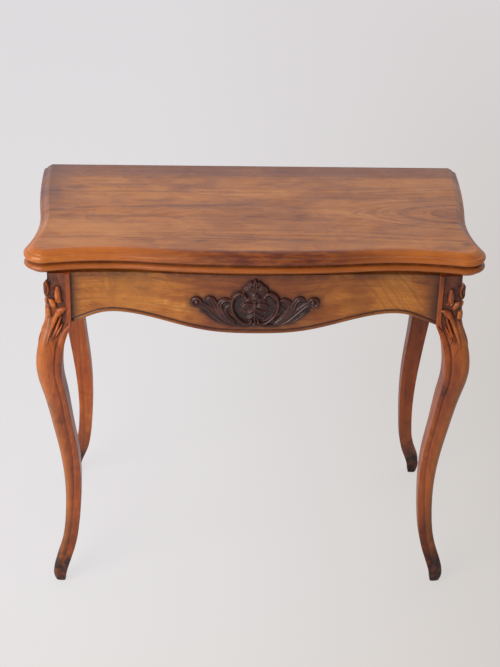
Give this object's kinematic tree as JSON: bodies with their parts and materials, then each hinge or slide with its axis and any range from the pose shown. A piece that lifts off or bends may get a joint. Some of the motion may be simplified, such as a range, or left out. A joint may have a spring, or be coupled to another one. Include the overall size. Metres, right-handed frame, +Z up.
{
  "type": "folding card table",
  "caption": "Serpentine fold-over card table on cabriole legs: the hinged top turns on its frame and unfolds to a square baize-lined playing surface.",
  "frame": {"origin": "on the floor, under the middle of the closed table", "axes": "+X along the long side, +Y towards the hinged back edge, +Z up"},
  "size_m": [0.862, 0.456, 0.75],
  "materials": {
    "top_walnut": "satin French polish",
    "apron_walnut": "satin French polish",
    "leg_walnut": "satin French polish",
    "carved_walnut": "dark satin polish",
    "inner_beech": "raw planed",
    "baize": "felted wool",
    "hinge_brass": "aged",
    "pivot_iron": "dull"
  },
  "bodies": {
    "table_frame": {"leg_front_left": "leg_walnut", "leg_front_right": "leg_walnut", "leg_back_left": "leg_walnut", "leg_back_right": "leg_walnut", "front_apron": "apron_walnut", "back_apron": "apron_walnut", "side_apron_left": "apron_walnut", "side_apron_right": "apron_walnut", "apron_carving": "carved_walnut", "swivel_board": "inner_beech", "well_divider": "inner_beech", "well_floor": "inner_beech", "well_battens": "inner_beech", "corner_blocks": "inner_beech"},
    "turning_leaf": {"lower_leaf": "top_walnut", "lower_baize": "baize", "pivot_plate": "pivot_iron", "pivot_screws": "pivot_iron", "pivot_washer": "pivot_iron", "pivot_nut": "pivot_iron", "stop_peg": "inner_beech", "hinge_plate_lower_left": "hinge_brass", "hinge_plate_lower_right": "hinge_brass", "hinge_pin_left": "hinge_brass", "hinge_pin_right": "hinge_brass", "hinge_screws_lower": "hinge_brass"},
    "folding_leaf": {"upper_leaf": "top_walnut", "upper_baize": "baize", "hinge_plate_upper_left": "hinge_brass", "hinge_plate_upper_right": "hinge_brass", "hinge_screws_upper": "hinge_brass"}
  },
  "joints": [
    {"name": "top_turn", "type": "hinge", "parent": "table_frame", "child": "turning_leaf", "pos_m": [0.1075, 0.1075, 0.706], "axis": [0, 0, 1], "range_deg": [0, 90]},
    {"name": "leaf_fold", "type": "hinge", "parent": "turning_leaf", "child": "folding_leaf", "pos_m": [0, 0.215, 0.728], "axis": [-1, 0, 0], "range_deg": [0, 180]}
  ]
}
